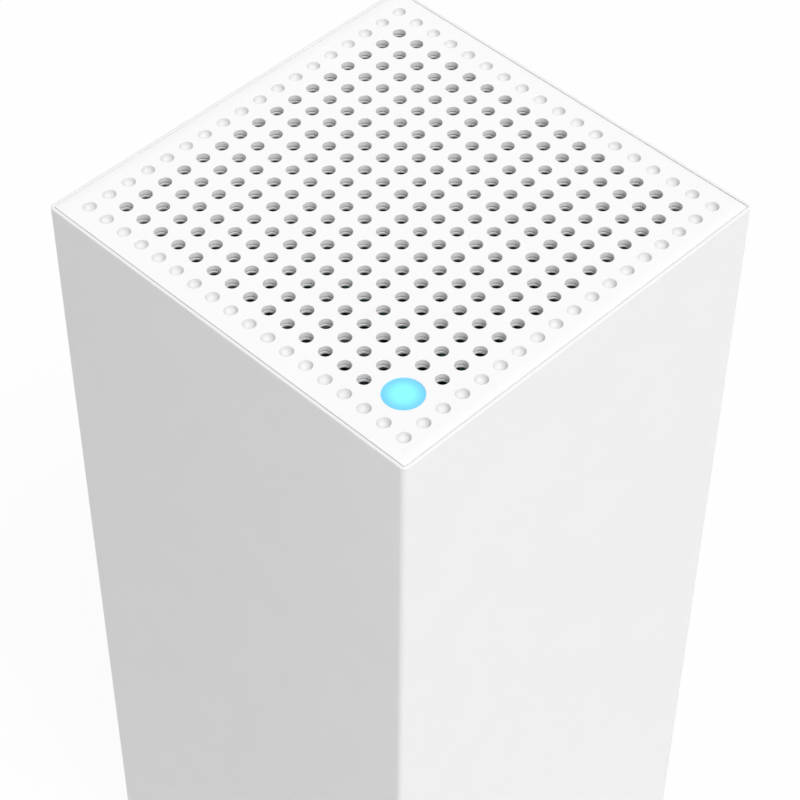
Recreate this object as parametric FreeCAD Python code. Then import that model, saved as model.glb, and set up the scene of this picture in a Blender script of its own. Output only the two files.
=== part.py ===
import FreeCAD, Part
import math
import os

# A mesh wifi node: a square white tower on four rubber feet, with a vented top cover, a round
# status light in one corner, and its sockets in a bay in the underside.
# Millimetres, +Z up, the origin on the ground at the tower's centre. The status light is in the
# corner towards +X and -Y. The cables leave by a notch in the rear wall, at +Y.

os.makedirs("parts", exist_ok=True)

# ---- Driving sizes ----

# The tower
tower_width = 78.7
tower_height = 185.0
corner_radius = 1.0
wall = 2.2
foot_height = 1.0

# The top
rim_width = 0.7
rim_round = 0.5
groove_width = 0.2
cover_thickness = 1.3
liner_thickness = 0.4
shelf_thickness = 2.0
holes_per_side = 18
hole_margin = 4.6
hole_diameter = 2.25
dimple_depth = 0.8
dimple_wall = 0.35

# The status light
light_diameter = 6.55
light_gap = 0.25
light_recess = 0.1
lens_flange = 0.8
light_room = 10.8
small_board_thickness = 1.2

# The base and the port bay
base_thickness = 3.0
base_gap = 0.15
bay_depth = 30.0
bay_wall = 1.6
bay_front = 22.0
bay_rear = 24.0
bay_side_room = 8.15
panel_thickness = 2.0
notch_width = 30.0
notch_height = 12.0
foot_radius = 4.0
foot_recess = 0.6

# The chassis
post_size = 5.0
post_gap = 0.65
ring_thickness = 2.5
rail_width = 3.5
rail_depth = 5.6
bar_thickness = 2.0
bar_height = 3.0

# Boards
board_thickness = 1.6
board_rest = 0.6
board_headroom = 10.0
radio_spacing = 10.0
radio_inset = 4.5
radio_rise = 38.4
radio_drop = 2.0
sink_inset = 5.5
sink_rise = 41.4
sink_drop = 8.0
radio_sink_inset = 2.5
radio_sink_rise = 9.0
radio_sink_drop = 12.0
can_height = 2.0
can_wall = 0.3
pad_thickness = 0.6
chip_height = 1.0

# Sockets, switch and button
lan_width = 16.0
lan_height = 13.5
lan_depth = 21.0
socket_width = 11.9
socket_height = 7.0
socket_depth = 14.5
shell_wall = 0.4
power_jack_width = 9.0
power_jack_height = 11.0
power_jack_depth = 14.0
power_bore_radius = 3.1
power_pin_radius = 1.0
port_gap = 2.0
switch_length = 13.0
switch_width = 8.6
switch_depth = 12.0
rocker_radius = 5.3
rocker_width = 7.0
rocker_tilt = 10.0
switch_x = 14.0
switch_y = 13.0
reset_radius = 1.75
reset_travel = 0.5
reset_stand_off = 3.0

# Antennas and their leads
antenna_drop = 1.0
antenna_side = 18.0
antenna_width = 12.0
antenna_length = 52.0
antenna_thickness = 0.8
lead_radius = 0.5
lead_spacing = 1.3

# Clearances
running_gap = 0.05
loose_gap = 0.3
slot_gap = 0.1

# Screws
screw_radius = 1.0
screw_head_radius = 2.2
screw_head_height = 1.6
screw_slot_width = 0.6
screw_slot_length = 2.6
screw_slot_depth = 0.8

# ---- Sizes worked out from the driving ones ----

half = tower_width / 2
inner_half = half - wall
base_half = inner_half - base_gap
pitch = (tower_width - 2 * hole_margin) / (holes_per_side - 1)

cover_bottom = tower_height - cover_thickness
shelf_top = cover_bottom - liner_thickness
shelf_bottom = shelf_top - shelf_thickness
shelf_inner = half - hole_margin - pitch / 2
cover_half = half - rim_width - groove_width

# The light takes the place of the second and third holes each way from its corner.
light_steps = 1.5
light_x = half - hole_margin - light_steps * pitch
light_y = -light_x
light_radius = light_diameter / 2
tunnel_radius = light_radius + light_gap + loose_gap

base_bottom = foot_height
base_top = base_bottom + base_thickness
panel_bottom = base_bottom + bay_depth
panel_top = panel_bottom + panel_thickness
bay_half = inner_half - bay_side_room

post_outer = inner_half - post_gap
post_inner = post_outer - post_size
post_centre = post_outer - post_size / 2
floor_ring_top = panel_top + ring_thickness
ring_top = shelf_bottom - light_room
ring_bottom = ring_top - ring_thickness

board_half = post_inner
board_bottom = panel_top + board_rest
board_top = ring_bottom - board_headroom
board_back = board_thickness
radio_front = board_back + radio_spacing
radio_back = radio_front + small_board_thickness
radio_half = board_half - radio_inset
radio_bottom = board_bottom + radio_rise
radio_top = board_top - radio_drop

sink_bottom = board_bottom + sink_rise
sink_top = board_top - sink_drop
sink_middle = (sink_bottom + sink_top) / 2
sink_half = board_half - sink_inset
sink_face = can_height + pad_thickness
radio_sink_half = radio_half - radio_sink_inset
radio_sink_bottom = radio_bottom + radio_sink_rise
radio_sink_top = radio_top - radio_sink_drop
radio_sink_middle = (radio_sink_bottom + radio_sink_top) / 2

# The ports stand in a row: two network sockets, then the power inlet.
ports_width = 2 * lan_width + 3 * port_gap + power_jack_width
lan_left_x = -ports_width / 2 + lan_width / 2
lan_right_x = lan_left_x + lan_width + port_gap
power_jack_x = ports_width / 2 - power_jack_width / 2
power_jack_y = -power_jack_height / 2
reset_x = lan_left_x
reset_y = board_back + reset_stand_off

antenna_face = post_outer - bar_thickness
antenna_top = ring_bottom - antenna_drop
antenna_bottom = antenna_top - antenna_length


# ---- Helpers ----

def span(centre, size):
    return (centre - size / 2, centre + size / 2)


def block(x, y, z):
    """A box between a low and a high value on each axis."""
    corner = FreeCAD.Vector(x[0], y[0], z[0])
    return Part.makeBox(x[1] - x[0], y[1] - y[0], z[1] - z[0], corner)


def rounded_block(x, y, z, radius):
    """A box whose four upright edges are rounded."""
    box = block(x, y, z)
    upright = [e for e in box.Edges if abs(e.tangentAt(e.FirstParameter).z) > 0.9]
    return box.makeFillet(radius, upright)


def rod(x, y, z, radius):
    """An upright cylinder."""
    return Part.makeCylinder(radius, z[1] - z[0], FreeCAD.Vector(x, y, z[0]))


def rod_along_y(x, y, z, radius):
    """A cylinder that runs towards +Y."""
    start = FreeCAD.Vector(x, y[0], z)
    return Part.makeCylinder(radius, y[1] - y[0], start, FreeCAD.Vector(0, 1, 0))


def prism_along(points, direction):
    """The outline through the points, pushed along a direction."""
    return Part.Face(Part.makePolygon(points + points[:1])).extrude(direction)


def joined(solids):
    first, rest = solids[0], solids[1:]
    if not rest:
        return first
    return first.fuse(rest).removeSplitter()


def cable(points, radius, bend):
    """A round cable through the points, with a bend of one radius at each turn."""
    edges = []
    start = points[0]
    for before, corner, after in zip(points, points[1:], points[2:]):
        inward = (before - corner).normalize()
        outward = (after - corner).normalize()
        turn = math.pi - inward.getAngle(outward)
        reach = bend * math.tan(turn / 2)
        bend_start = corner + inward * reach
        bend_end = corner + outward * reach
        to_centre = (inward + outward).normalize()
        middle = corner + to_centre * (bend / math.cos(turn / 2) - bend)
        edges.append(Part.makeLine(start, bend_start))
        edges.append(Part.Arc(bend_start, middle, bend_end).toShape())
        start = bend_end
    edges.append(Part.makeLine(start, points[-1]))
    path = Part.Wire(edges)
    circle = Part.Wire(Part.makeCircle(radius, points[0], points[1] - points[0]))
    return path.makePipeShell([circle], True, True)


def write(name, solids):
    """One file per named piece. A group of like pieces shares a file."""
    shape = solids[0] if len(solids) == 1 else Part.makeCompound(solids)
    shape.exportStep("parts/" + name + ".step")


def corners(x, y):
    """The four places at plus and minus x and y."""
    return [(sx * x, sy * y) for sx in (-1, 1) for sy in (-1, 1)]


# ---- The vent pattern ----

def hole_centres():
    """Each hole's place, and whether it is one of the outermost ring."""
    first = -half + hole_margin
    last = holes_per_side - 1
    places = []
    for column in range(holes_per_side):
        for row in range(holes_per_side):
            x = first + column * pitch
            y = first + row * pitch
            if max(abs(x - light_x), abs(y - light_y)) < pitch:
                continue
            outermost = column in (0, last) or row in (0, last)
            places.append((x, y, outermost))
    return places


def vent_plate(z):
    """A square plate with the light's hole and every vent hole that goes through."""
    radius = max(corner_radius - rim_width - groove_width, 0.1)
    plate = rounded_block((-cover_half, cover_half), (-cover_half, cover_half), z, radius)
    under = min(plate.Faces, key=lambda face: face.CenterOfMass.z)
    up = FreeCAD.Vector(0, 0, 1)
    rings = [under.OuterWire]
    light_centre = FreeCAD.Vector(light_x, light_y, z[0])
    rings.append(Part.Wire(Part.makeCircle(light_radius + light_gap, light_centre, up)))
    for x, y, outermost in hole_centres():
        if not outermost:
            centre = FreeCAD.Vector(x, y, z[0])
            rings.append(Part.Wire(Part.makeCircle(hole_diameter / 2, centre, up)))
    face = Part.makeFace(rings, "Part::FaceMakerBullseye")
    return face.extrude(up * (z[1] - z[0]))


def dimple(x, y):
    """The space of one blind hole: a short straight wall above a rounded floor."""
    radius = hole_diameter / 2
    sag = dimple_depth - dimple_wall
    rim = FreeCAD.Vector(radius, 0, 0)
    wall_foot = FreeCAD.Vector(radius, 0, -dimple_wall)
    floor = FreeCAD.Vector(0, 0, -dimple_depth)
    sphere_radius = (radius ** 2 + sag ** 2) / (2 * sag)
    lean = math.asin(radius / sphere_radius) / 2
    between = FreeCAD.Vector(
        sphere_radius * math.sin(lean), 0,
        -dimple_depth + sphere_radius * (1 - math.cos(lean)))
    outline = Part.Wire([
        Part.makeLine(FreeCAD.Vector(0, 0, 0), rim),
        Part.makeLine(rim, wall_foot),
        Part.Arc(wall_foot, between, floor).toShape(),
        Part.makeLine(floor, FreeCAD.Vector(0, 0, 0))])
    tool = Part.Face(outline).revolve(FreeCAD.Vector(0, 0, 0), FreeCAD.Vector(0, 0, 1), 360)
    tool.translate(FreeCAD.Vector(x, y, tower_height))
    return tool


def top_cover():
    plate = vent_plate((cover_bottom, tower_height))
    dimples = [dimple(x, y) for x, y, outermost in hole_centres() if outermost]
    return plate.cut(Part.makeCompound(dimples))


def vent_liner():
    return vent_plate((shelf_top, cover_bottom))


# ---- The outer sleeve ----

sleeve_boss_side = 6.0
sleeve_boss_height = 12.0
sleeve_boss_y = 12.0
sleeve_screw_x = inner_half - sleeve_boss_side / 2
screw_hole_radius = screw_radius + loose_gap
counterbore_radius = screw_head_radius + loose_gap


def sleeve_screw_places():
    return corners(sleeve_screw_x, sleeve_boss_y)


def outer_sleeve():
    outside = rounded_block(
        (-half, half), (-half, half), (base_bottom, tower_height), corner_radius)
    top = max(outside.Faces, key=lambda face: face.CenterOfMass.z)
    outside = outside.makeFillet(rim_round, top.Edges)
    recess_half = half - rim_width
    recess_corner = max(corner_radius - rim_width, 0.2)
    recess = rounded_block(
        (-recess_half, recess_half), (-recess_half, recess_half),
        (shelf_top, tower_height + 1), recess_corner)
    hollow = rounded_block(
        (-inner_half, inner_half), (-inner_half, inner_half),
        (base_bottom - 1, shelf_bottom), corner_radius)
    vent = block(
        (-shelf_inner, shelf_inner), (-shelf_inner, shelf_inner), (shelf_bottom - 1, shelf_top + 1))
    lens_room = rod(light_x, light_y, (shelf_bottom - 1, shelf_top + 1), tunnel_radius + loose_gap)
    notch = block(
        (-notch_width / 2, notch_width / 2), (inner_half - 1, half + 1),
        (base_bottom - 1, base_bottom + notch_height))
    shell = outside.cut([recess, hollow, vent, lens_room, notch])
    bosses = []
    screw_holes = []
    for x, y in sleeve_screw_places():
        side = math.copysign(1, x)
        edges = sorted((side * (inner_half - sleeve_boss_side), side * (inner_half + wall / 2)))
        boss_top = base_top + sleeve_boss_height
        bosses.append(block(edges, span(y, sleeve_boss_side), (base_top, boss_top)))
        screw_holes.append(rod(x, y, (base_top - 1, boss_top - 2), screw_hole_radius))
    return joined([shell] + bosses).cut(screw_holes)


# ---- The status light ----

board_reach_in = 9.6
board_reach_out = 5.2
light_led_size = 3.2
light_led_height = 1.2
light_socket_side = 4.0
light_socket_height = 1.6
light_socket_inset = 1.0
light_socket_x = light_x - board_reach_in + light_socket_inset + light_socket_side / 2
light_socket_y = light_y + board_reach_in - light_socket_inset - light_socket_side / 2
light_board_bottom = ring_top
light_board_top = light_board_bottom + small_board_thickness
light_screw_step = 7.1


def light_lens():
    disc = rod(light_x, light_y, (shelf_top - lens_flange, tower_height - light_recess), light_radius)
    flange = rod(light_x, light_y, (shelf_top - lens_flange, shelf_top), tunnel_radius)
    return joined([disc, flange])


def light_tunnel():
    z = (light_board_top, shelf_top - lens_flange)
    outside = rod(light_x, light_y, z, tunnel_radius)
    return outside.cut(rod(light_x, light_y, z, tunnel_radius - light_gap - loose_gap))


def light_screw_places():
    return [(light_x - light_screw_step, light_y), (light_x, light_y + light_screw_step)]


def light_board():
    x = (light_x - board_reach_in, light_x + board_reach_out)
    y = (light_y - board_reach_out, light_y + board_reach_in)
    board = block(x, y, (light_board_bottom, light_board_top))
    post = block(
        (post_inner - loose_gap, post_outer), (-post_outer, -post_inner + loose_gap),
        (light_board_bottom - 1, light_board_top + 1))
    holes = [
        rod(px, py, (light_board_bottom - 1, light_board_top + 1), screw_hole_radius)
        for px, py in light_screw_places()]
    return board.cut([post] + holes)


def status_led():
    z = (light_board_top, light_board_top + light_led_height)
    return block(span(light_x, light_led_size), span(light_y, light_led_size), z)


# ---- The base ----

foot_x = 25.0
foot_y = inner_half - 6.15
slot_length = 8.0
slot_width = 2.0
slot_pitch = 4.5
slot_count = 8
panel_slot_length = 5.0
base_screw_length = 10.0
sleeve_screw_length = 9.0


def base_screw_places():
    return corners(post_centre, post_centre)


def intake_slots(z, y_middle, length):
    """A row of narrow air slots across the front."""
    first = -slot_pitch * (slot_count - 1) / 2
    return [
        block(span(first + i * slot_pitch, slot_width), span(y_middle, length), z)
        for i in range(slot_count)]


def base_frame():
    plate = rounded_block(
        (-base_half, base_half), (-base_half, base_half), (base_bottom, base_top), corner_radius)
    bay_outside = block(
        (-bay_half - bay_wall, bay_half + bay_wall), (-bay_front - bay_wall, bay_rear + bay_wall),
        (base_bottom, panel_bottom))
    tunnel_outside = block(
        span(0, notch_width + 2 * bay_wall), (bay_rear, base_half),
        (base_bottom, base_bottom + notch_height + bay_wall))
    bay = block(
        (-bay_half, bay_half), (-bay_front, bay_rear), (base_bottom - 1, panel_bottom + 1))
    tunnel = block(
        span(0, notch_width), (bay_rear - 1, base_half + 1),
        (base_bottom - 1, base_bottom + notch_height))
    cuts = [bay, tunnel]
    through = (base_bottom - 1, base_top + 1)
    cuts += intake_slots(through, -(bay_front + bay_wall + base_half) / 2, slot_length)
    for x, y in base_screw_places() + sleeve_screw_places():
        cuts.append(rod(x, y, through, screw_hole_radius))
        cuts.append(rod(x, y, (base_bottom - 1, base_bottom + screw_head_height), counterbore_radius))
    for x, y in corners(foot_x, foot_y):
        cuts.append(rod(x, y, (base_bottom - 1, base_bottom + foot_recess), foot_radius + loose_gap))
    return joined([plate, bay_outside, tunnel_outside]).cut(cuts)


def rubber_feet():
    return [
        rod(x, y, (0, base_bottom + foot_recess), foot_radius)
        for x, y in corners(foot_x, foot_y)]


def screw_from_below(x, y, head_bottom, length):
    """A pan-head screw that points up, with a cross slot in its head."""
    head_top = head_bottom + screw_head_height
    head = rod(x, y, (head_bottom, head_top), screw_head_radius)
    shank = rod(x, y, (head_top, head_top + length), screw_radius)
    slot_z = (head_bottom - 1, head_bottom + screw_slot_depth)
    cross = [
        block(span(x, screw_slot_width), span(y, screw_slot_length), slot_z),
        block(span(x, screw_slot_length), span(y, screw_slot_width), slot_z)]
    return joined([head, shank]).cut(cross)


def base_screws():
    return [screw_from_below(x, y, base_bottom, base_screw_length) for x, y in base_screw_places()]


def sleeve_screws():
    return [screw_from_below(x, y, base_bottom, sleeve_screw_length) for x, y in sleeve_screw_places()]


def port_panel():
    panel = block(
        (-bay_half - bay_wall, bay_half + bay_wall), (-bay_front - bay_wall, bay_rear + bay_wall),
        (panel_bottom, panel_top))
    z = (panel_bottom - 1, panel_top + 1)
    cuts = []
    for x in (lan_left_x, lan_right_x):
        cuts.append(block(span(x, lan_width + 2 * slot_gap), (-lan_height - slot_gap, slot_gap), z))
    cuts.append(block(
        span(power_jack_x, power_jack_width + 2 * slot_gap),
        (-power_jack_height - slot_gap, slot_gap), z))
    cuts.append(block(
        span(switch_x, switch_length + 2 * slot_gap), span(switch_y, switch_width + 2 * slot_gap), z))
    cuts.append(rod(reset_x, reset_y, z, reset_radius + running_gap))
    cuts += intake_slots(z, -(lan_height + bay_front) / 2, panel_slot_length)
    return panel.cut(cuts)


# ---- The chassis that carries the boards ----

boss_reach = 5.0
boss_depth = 4.4
boss_height = 6.0
boss_end_wall = 0.6
board_screw_inset = 4.5
low_screw_rise = 12.0
high_screw_drop = 4.0
ring_width = 5.5
bar_inset = 3.0
rail_overlap = 2.0
post_screw_depth = 12.0
board_screw_x = board_half - board_screw_inset
low_screw_z = board_bottom + low_screw_rise
high_screw_z = board_top - high_screw_drop
top_opening = post_inner - ring_width


def board_screw_places():
    return [(sx * board_screw_x, z) for sx in (-1, 1) for z in (low_screw_z, high_screw_z)]


def crossbars():
    """Two bars on each side between the posts. The antennas are fixed to their inner faces."""
    bars = []
    across = (-post_inner, post_inner)
    for low in (antenna_bottom + bar_inset, antenna_top - bar_inset - bar_height):
        z = (low, low + bar_height)
        for side in (-1, 1):
            outward = sorted((side * antenna_face, side * post_outer))
            bars.append(block(outward, across, z))
            bars.append(block(across, outward, z))
    return bars


def chassis():
    square = (-post_outer, post_outer)
    floor = block(square, square, (panel_top, floor_ring_top))
    floor_opening = block(
        (-bay_half + 1, bay_half - 1), (-bay_front + 1, bay_rear - 1),
        (panel_top - 1, floor_ring_top + 1))
    ceiling = block(square, square, (ring_bottom, ring_top))
    ceiling_opening = block(
        (-top_opening, top_opening), (-top_opening, top_opening), (ring_bottom - 1, ring_top + 1))
    solids = [floor.cut(floor_opening), ceiling.cut(ceiling_opening)]
    for x, y in corners(post_centre, post_centre):
        solids.append(block(span(x, post_size), span(y, post_size), (base_top, shelf_bottom)))
    for side in (-1, 1):
        rail_inner = board_half - rail_overlap
        rail_x = sorted((side * rail_inner, side * (rail_inner + rail_width)))
        solids.append(block(rail_x, span(board_thickness / 2, rail_depth), (panel_top, ring_bottom)))
    solids += crossbars()
    cuts = []
    for x, z in board_screw_places():
        side = math.copysign(1, x)
        boss_x = sorted((x - side * boss_reach / 2, side * (board_half - 1)))
        solids.append(block(boss_x, (board_back, board_back + boss_depth), span(z, boss_height)))
        cuts.append(rod_along_y(x, (0, board_back + boss_depth - boss_end_wall), z, screw_hole_radius))
    cuts.append(block(
        (-board_half - slot_gap, board_half + slot_gap), (-slot_gap, board_back + slot_gap),
        (board_bottom - slot_gap, board_top + slot_gap)))
    for x, y in base_screw_places():
        cuts.append(rod(x, y, (base_top - 1, base_top + post_screw_depth), screw_hole_radius))
    for x, y in light_screw_places():
        cuts.append(rod(x, y, (ring_bottom - 1, ring_top + 1), screw_hole_radius))
    cuts.append(rod(light_x, light_y, (ring_top, shelf_bottom + 1), tunnel_radius + loose_gap))
    return joined(solids).cut(cuts)


# ---- Boards ----

standoff_x = 17.5
standoff_flat = 4.5
standoff_inset = 3.0
sink_screw_inset = 3.5
sink_screw_side = 4.0
board_screw_grip = 3.0
standoff_screw_grip = 4.0


def standoff_places():
    rows = (radio_bottom + standoff_inset, radio_top - standoff_inset)
    return [(sx * standoff_x, z) for sx in (-1, 1) for z in rows]


def sink_screw_places(half_width, low, high):
    return [
        (sx * (half_width - sink_screw_side), z)
        for sx in (-1, 1) for z in (low + sink_screw_inset, high - sink_screw_inset)]


def main_board():
    board = block((-board_half, board_half), (0, board_back), (board_bottom, board_top))
    places = board_screw_places() + standoff_places()
    places += sink_screw_places(sink_half, sink_bottom, sink_top)
    holes = [rod_along_y(x, (-1, board_back + 1), z, screw_hole_radius) for x, z in places]
    return board.cut(holes)


def radio_board():
    board = block(
        (-radio_half, radio_half), (radio_front, radio_back), (radio_bottom, radio_top))
    places = standoff_places()
    places += sink_screw_places(radio_sink_half, radio_sink_bottom, radio_sink_top)
    holes = [rod_along_y(x, (radio_front - 1, radio_back + 1), z, screw_hole_radius) for x, z in places]
    return board.cut(holes)


def standoffs():
    """Six-sided spacers between the two boards, bored right through."""
    posts = []
    corner = standoff_flat / math.sqrt(3)
    for x, z in standoff_places():
        ring = [
            FreeCAD.Vector(
                x + corner * math.cos(math.radians(60 * i)), board_back,
                z + corner * math.sin(math.radians(60 * i)))
            for i in range(6)]
        post = prism_along(ring, FreeCAD.Vector(0, radio_spacing, 0))
        posts.append(post.cut(rod_along_y(x, (board_back - 1, radio_front + 1), z, screw_hole_radius)))
    return posts


def screw_along_y(x, z, face, direction, length):
    """A pan-head screw whose head rests on a face. Its shank runs along +Y or -Y."""
    head = sorted((face, face - direction * screw_head_height))
    shank = sorted((face, face + direction * length))
    return joined([
        rod_along_y(x, head, z, screw_head_radius),
        rod_along_y(x, shank, z, screw_radius)])


def board_screws():
    """The main board's screws into the chassis, and both boards' screws into the spacers."""
    screws = [screw_along_y(x, z, 0, 1, board_back + board_screw_grip) for x, z in board_screw_places()]
    for x, z in standoff_places():
        screws.append(screw_along_y(x, z, 0, 1, board_back + standoff_screw_grip))
        reach = small_board_thickness + standoff_screw_grip
        screws.append(screw_along_y(x, z, radio_back, -1, reach))
    return screws


# ---- Chips, cans and pads on the boards ----

processor_side = 14.0
processor_can_side = 24.0
memory_x = 18.0
memory_width = 8.0
memory_length = 11.0
flash_width = 12.0
flash_length = 6.0
flash_drop = 20.0
network_chip_side = 10.0
network_chip_x = -6.0
network_chip_rise = 12.0
radio_can_width = 14.0
radio_can_length = 18.0
radio_can_pitch = 16.0
radio_chip_side = 8.0
can_pad_margin = 4.0
radio_pad_margin = 2.0
radio_names = ("low", "middle", "high")


def chip_on_front(x, z, width, length):
    return block(span(x, width), (-chip_height, 0), span(z, length))


def main_processor():
    return chip_on_front(0, sink_middle, processor_side, processor_side)


def memory_chips():
    return [
        chip_on_front(x, sink_middle, memory_width, memory_length)
        for x in (-memory_x, memory_x)]


def flash_chip():
    return chip_on_front(0, sink_middle - flash_drop, flash_width, flash_length)


def network_chip():
    """On the board's back, just above the power parts."""
    y = (board_back, board_back + chip_height)
    z = span(power_row_z + network_chip_rise, network_chip_side)
    return block(span(network_chip_x, network_chip_side), y, z)


def processor_can():
    """A thin metal lid over the processor, open on the board's side."""
    outside = block(
        span(0, processor_can_side), (-can_height, 0), span(sink_middle, processor_can_side))
    room = processor_can_side - 2 * can_wall
    return outside.cut(block(span(0, room), (-can_height + can_wall, 1), span(sink_middle, room)))


def radio_x(name):
    return (radio_names.index(name) - 1) * radio_can_pitch


def radio_can(name):
    x = radio_x(name)
    outside = block(
        span(x, radio_can_width), (radio_back, radio_back + can_height),
        span(radio_sink_middle, radio_can_length))
    inside = block(
        span(x, radio_can_width - 2 * can_wall),
        (radio_back - 1, radio_back + can_height - can_wall),
        span(radio_sink_middle, radio_can_length - 2 * can_wall))
    return outside.cut(inside)


def radio_chip(name):
    y = (radio_back, radio_back + chip_height)
    return block(span(radio_x(name), radio_chip_side), y, span(radio_sink_middle, radio_chip_side))


def processor_pads():
    """Soft pads: chip to can, and can to heat sink."""
    inner = block(
        span(0, processor_side), (-can_height + can_wall, -chip_height),
        span(sink_middle, processor_side))
    outer = block(
        span(0, processor_can_side - can_pad_margin), (-sink_face, -can_height),
        span(sink_middle, processor_can_side - can_pad_margin))
    return [inner, outer]


def radio_pads():
    pads = []
    can_top = radio_back + can_height
    for name in radio_names:
        x = span(radio_x(name), radio_chip_side)
        z = span(radio_sink_middle, radio_chip_side)
        pads.append(block(x, (radio_back + chip_height, can_top - can_wall), z))
        wide_x = span(radio_x(name), radio_can_width - radio_pad_margin)
        wide_z = span(radio_sink_middle, radio_can_length - radio_pad_margin)
        pads.append(block(wide_x, (can_top, can_top + pad_thickness), wide_z))
    return pads


# ---- Heat sinks ----

sink_base = 3.0
fin_thickness = 1.2
fin_count = 12
fin_end = 7.0
main_fin_length = 18.4
radio_fin_length = 10.6


def finned_sink(half_width, face, direction, fin_length, low, high):
    """A base plate against the pads, with upright fins on its outer side."""
    back = face + direction * sink_base
    tip = back + direction * fin_length
    solids = [block((-half_width, half_width), sorted((face, back)), (low, high))]
    step = (2 * half_width - fin_thickness) / (fin_count - 1)
    for i in range(fin_count):
        left = -half_width + i * step
        solids.append(block(
            (left, left + fin_thickness), sorted((back, tip)), (low + fin_end, high - fin_end)))
    holes = [
        rod_along_y(x, (min(face, back) - 1, max(face, back) + 1), z, screw_hole_radius)
        for x, z in sink_screw_places(half_width, low, high)]
    return joined(solids).cut(holes)


def main_heat_sink():
    return finned_sink(sink_half, -sink_face, -1, main_fin_length, sink_bottom, sink_top)


def radio_heat_sink():
    return finned_sink(
        radio_sink_half, radio_back + sink_face, 1, radio_fin_length,
        radio_sink_bottom, radio_sink_top)


def heat_sink_screws():
    screws = []
    for x, z in sink_screw_places(sink_half, sink_bottom, sink_top):
        head_face = -sink_face - sink_base
        screws.append(screw_along_y(x, z, head_face, 1, sink_face + sink_base + board_thickness))
    for x, z in sink_screw_places(radio_sink_half, radio_sink_bottom, radio_sink_top):
        head_face = radio_back + sink_face + sink_base
        reach = sink_face + sink_base + small_board_thickness
        screws.append(screw_along_y(x, z, head_face, -1, reach))
    return screws


# ---- Power parts and connectors on the main board ----

magnetics_width = 15.0
magnetics_length = 9.5
magnetics_height = 4.2
magnetics_gap = 2.0
inductor_side = 7.0
inductor_height = 4.0
capacitor_radius = 3.2
capacitor_height = 8.0
inductor_row = (-20.0, -11.0, -2.0)
capacitor_row = (8.0, 16.0)
power_row_rise = 28.0
power_row_z = board_bottom + power_row_rise
stack_connector_width = 18.0
stack_connector_height = 5.0
stack_connector_z = radio_bottom + 12.0
light_cable_radius = 0.9
light_cable_bend = 3.0
wire_socket_side = 4.0
wire_socket_height = 3.0
light_socket_z = board_top - 3.5


def lan_magnetics():
    low = board_bottom + lan_depth - board_rest + magnetics_gap
    z = (low, low + magnetics_length)
    return [
        block(span(x, magnetics_width), (-magnetics_height, 0), z)
        for x in (lan_left_x, lan_right_x)]


def power_inductors():
    return [
        block(
            span(x, inductor_side), (board_back, board_back + inductor_height),
            span(power_row_z, inductor_side))
        for x in inductor_row]


def power_capacitors():
    return [
        rod_along_y(x, (board_back, board_back + capacitor_height), power_row_z, capacitor_radius)
        for x in capacitor_row]


def stack_plug():
    y = (board_back, board_back + radio_spacing / 2)
    return block(span(0, stack_connector_width), y, span(stack_connector_z, stack_connector_height))


def stack_socket():
    y = (board_back + radio_spacing / 2, radio_front)
    return block(span(0, stack_connector_width), y, span(stack_connector_z, stack_connector_height))


def light_cable_sockets():
    """One under the light's board, and one on the main board."""
    upper = block(
        span(light_socket_x, light_socket_side), span(light_socket_y, light_socket_side),
        (light_board_bottom - light_socket_height, light_board_bottom))
    lower = block(
        span(light_socket_x, wire_socket_side), (-wire_socket_height, 0),
        span(light_socket_z, wire_socket_side))
    return [upper, lower]


def light_cable():
    top = FreeCAD.Vector(light_socket_x, light_socket_y, light_board_bottom - light_socket_height)
    turn = FreeCAD.Vector(light_socket_x, light_socket_y, light_socket_z)
    end = FreeCAD.Vector(light_socket_x, -wire_socket_height, light_socket_z)
    return cable([top, turn, end], light_cable_radius, light_cable_bend)


# ---- Network sockets ----

contact_count = 8
contact_pitch = 1.02
contact_width = 0.35
contact_slot = 0.45
contact_wall = 0.35
socket_back = -3.4
contact_floor = -2.4
latch_width = 6.2
latch_height = 1.8
latch_depth = 9.0
insert_recess = 0.3
slot_low = panel_bottom + 1.5
slot_high = panel_bottom + 13.2
wire_low = slot_low + 0.2
wire_high = slot_high - 0.2
wire_tip_y = -5.3
wire_tip_rise = 8.1
wire_tip_back = 0.35
wire_foot = 1.2


def lan_shell(x):
    """A folded metal can round the socket, open at its mouth."""
    outside = block(span(x, lan_width), (-lan_height, 0), (panel_bottom, panel_bottom + lan_depth))
    room = block(
        span(x, lan_width - 2 * shell_wall), (-lan_height + shell_wall, -shell_wall),
        (panel_bottom - 1, panel_bottom + lan_depth - shell_wall))
    return outside.cut(room)


def contact_xs(x):
    first = x - contact_pitch * (contact_count - 1) / 2
    return [first + i * contact_pitch for i in range(contact_count)]


def lan_insert(x):
    """The plastic block inside the can, with the plug's socket and a slot for each contact."""
    body = block(
        span(x, lan_width - 2 * shell_wall), (-lan_height + shell_wall, -shell_wall),
        (panel_bottom + insert_recess, panel_bottom + lan_depth - shell_wall))
    below = panel_bottom - 1
    socket_front = socket_back - socket_height
    socket = block(
        span(x, socket_width), (socket_front, socket_back), (below, panel_bottom + socket_depth))
    latch = block(
        span(x, latch_width), (socket_front - latch_height, socket_back),
        (below, panel_bottom + latch_depth))
    slots = [
        block(
            span(cx, contact_slot), (socket_back - 1, contact_floor),
            (slot_low, slot_high))
        for cx in contact_xs(x)]
    return body.cut([socket, latch] + slots)


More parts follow.
